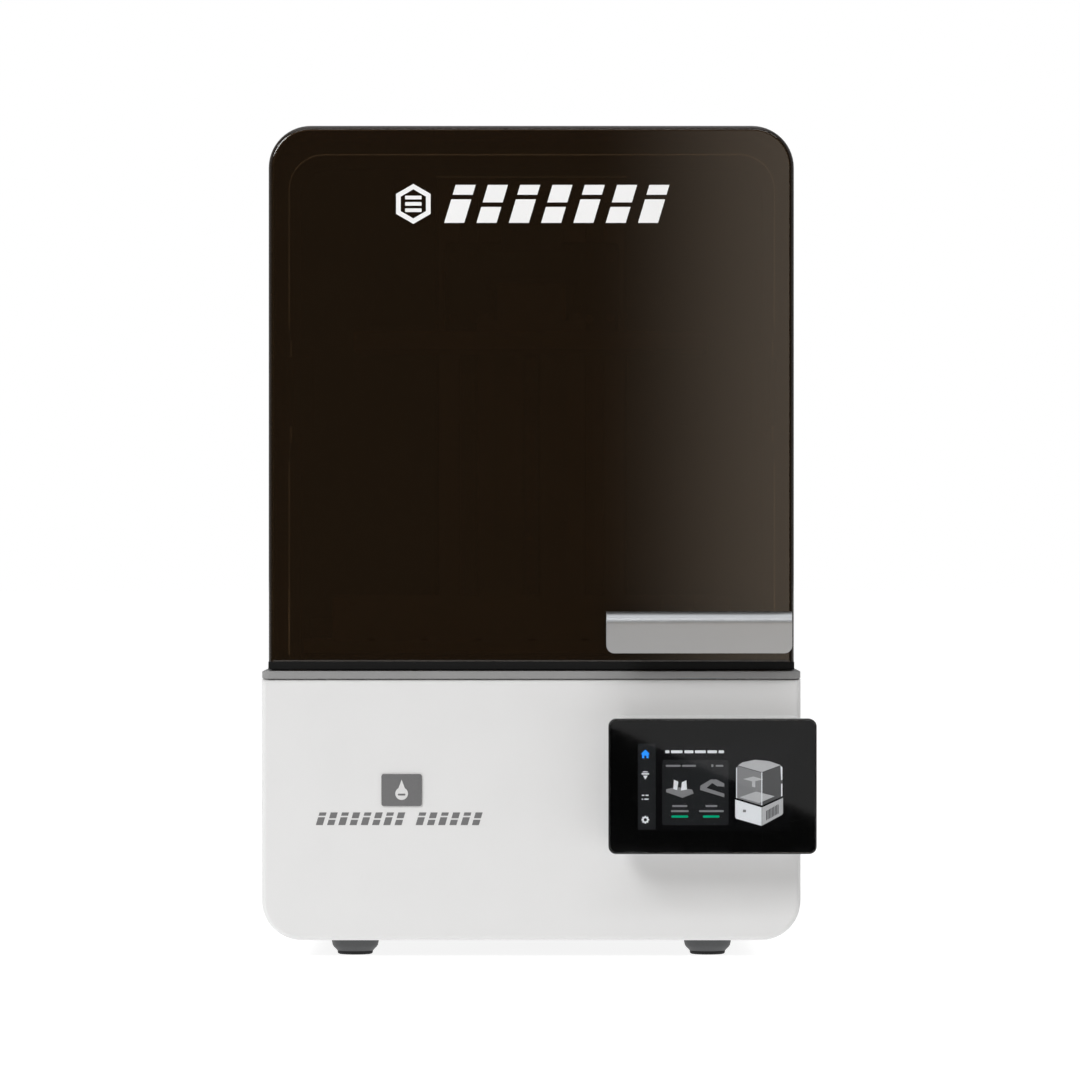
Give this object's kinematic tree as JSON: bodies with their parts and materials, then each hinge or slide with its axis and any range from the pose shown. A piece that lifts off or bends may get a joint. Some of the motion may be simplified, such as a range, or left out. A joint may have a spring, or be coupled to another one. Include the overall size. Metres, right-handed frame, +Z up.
{
  "type": "resin 3d printer",
  "caption": "Desktop resin printer: white base with a screw-driven build platform over a resin vat, offset touch screen, dark amber flip-up hood and hook handle.",
  "frame": {"origin": "middle of the bounding box's footprint, at the level of the feet's soles", "axes": "+Z up, +X to the right seen from the front, -Y towards the front"},
  "size_m": [0.3488, 0.3532, 0.525],
  "materials": {
    "white_shell": "satin white moulded shell",
    "deck_grey": "matte grey",
    "foot_rubber": "matte black with a darker sole",
    "black_plastic": "fine moulded texture",
    "switch_plastic": "satin",
    "fan_plastic": "satin",
    "knob_plastic": "fine moulded texture",
    "badge_grey": "satin grey",
    "screen_glass": "gloss black",
    "display": "lit panel under glass",
    "lcd_glass": "gloss dark",
    "ribbon": "flat cable",
    "lens": "clear",
    "clear_film": "clear film",
    "amber_acrylic": "polished dark amber",
    "satin_aluminium": "satin machined",
    "platform_aluminium": "sanded",
    "handle_aluminium": "fine brushed",
    "dark_aluminium": "black anodised",
    "bright_steel": "ground",
    "black_steel": "black powder coat",
    "tower_black": "fine moulded texture",
    "nut_brass": "machined",
    "circuit_board": "solder mask",
    "gasket_rubber": "matte black"
  },
  "bodies": {
    "base": {"base_housing": "white_shell", "base_bottom_plate": "black_steel", "deck_plate": "deck_grey", "foot_front_left": "foot_rubber", "foot_front_right": "foot_rubber", "foot_rear_left": "foot_rubber", "foot_rear_right": "foot_rubber", "mainboard": "circuit_board", "power_supply": "satin_aluminium", "power_inlet": "black_plastic", "power_switch_frame": "black_plastic", "usb_port": "bright_steel", "front_badge": "badge_grey", "exhaust_fan_frame": "black_plastic", "screen_housing": "black_plastic", "screen_glass": "screen_glass", "screen_display": "display", "screen_ribbon_cable": "ribbon", "light_housing": "black_plastic", "light_lens": "lens", "led_board": "circuit_board", "heat_sink": "satin_aluminium", "heat_sink_fan_frame": "black_plastic", "lcd_frame": "dark_aluminium", "lcd_panel": "lcd_glass", "rear_housing": "tower_black", "rear_cover": "black_steel", "z_column": "satin_aluminium", "z_rail_left": "bright_steel", "z_rail_right": "bright_steel", "screw_lower_bearing": "dark_aluminium", "screw_upper_bearing": "dark_aluminium", "z_motor": "black_steel", "z_motor_bracket": "dark_aluminium", "vat_body": "satin_aluminium", "vat_film": "clear_film", "vat_film_ring": "dark_aluminium", "hinge_bracket_left": "black_steel", "hinge_bracket_right": "black_steel"},
    "hood": {"hood_shell": "amber_acrylic", "hood_handle": "handle_aluminium", "hood_gasket": "gasket_rubber", "hinge_leaf_left": "black_steel", "hinge_leaf_right": "black_steel"},
    "z_carriage": {"carriage_block_left": "bright_steel", "carriage_block_right": "bright_steel", "carriage_plate": "dark_aluminium", "ball_nut": "nut_brass", "platform_arm": "dark_aluminium", "platform_head": "satin_aluminium", "platform_plate": "platform_aluminium"},
    "drive_screw": {"z_screw": "bright_steel", "screw_coupler": "satin_aluminium", "motor_shaft": "bright_steel"},
    "clamp_knob": {"clamp_knob": "knob_plastic"},
    "vat_knob_left": {"vat_knob_left": "knob_plastic"},
    "vat_knob_right": {"vat_knob_right": "knob_plastic"},
    "power_rocker": {"power_switch_rocker": "switch_plastic"},
    "heat_sink_fan": {"heat_sink_fan_rotor": "fan_plastic"},
    "exhaust_fan": {"exhaust_fan_rotor": "fan_plastic"}
  },
  "joints": [
    {"name": "hood_flip", "type": "hinge", "parent": "base", "child": "hood", "pos_m": [-0.00445, 0.12542, 0.36], "axis": [-1, 0, 0], "range_deg": [0, 70]},
    {"name": "z_lift", "type": "slide", "parent": "base", "child": "z_carriage", "axis": [0, 0, 1], "range_m": [-0.1937, 0.035]},
    {"name": "screw_spin", "type": "hinge", "parent": "base", "child": "drive_screw", "pos_m": [-0.00445, 0.12442, 0.34], "axis": [0, 0, 1], "range_deg": [-2530, 13960]},
    {"name": "clamp_knob_turn", "type": "hinge", "parent": "z_carriage", "child": "clamp_knob", "pos_m": [-0.00445, -0.02358, 0.46], "axis": [0, 0, 1], "range_deg": [0, 540]},
    {"name": "vat_knob_left_turn", "type": "hinge", "parent": "base", "child": "vat_knob_left", "pos_m": [-0.14045, -0.02358, 0.206], "axis": [0, 0, 1], "range_deg": [0, 720]},
    {"name": "vat_knob_right_turn", "type": "hinge", "parent": "base", "child": "vat_knob_right", "pos_m": [0.13155, -0.02358, 0.206], "axis": [0, 0, 1], "range_deg": [0, 720]},
    {"name": "power_rocker_tilt", "type": "hinge", "parent": "base", "child": "power_rocker", "pos_m": [0.06855, 0.17142, 0.0835], "axis": [1, 0, 0], "range_deg": [0, 16]},
    {"name": "heat_sink_fan_spin", "type": "hinge", "parent": "base", "child": "heat_sink_fan", "pos_m": [-0.00445, -0.02358, 0.023], "axis": [0, 0, 1], "continuous": true},
    {"name": "exhaust_fan_spin", "type": "hinge", "parent": "base", "child": "exhaust_fan", "pos_m": [-0.08945, 0.16242, 0.11085], "axis": [0, 1, 0], "continuous": true}
  ],
  "couplings": [
    {"joint": "screw_spin", "follows": "z_lift", "rad_per_m": -1256.6}
  ]
}
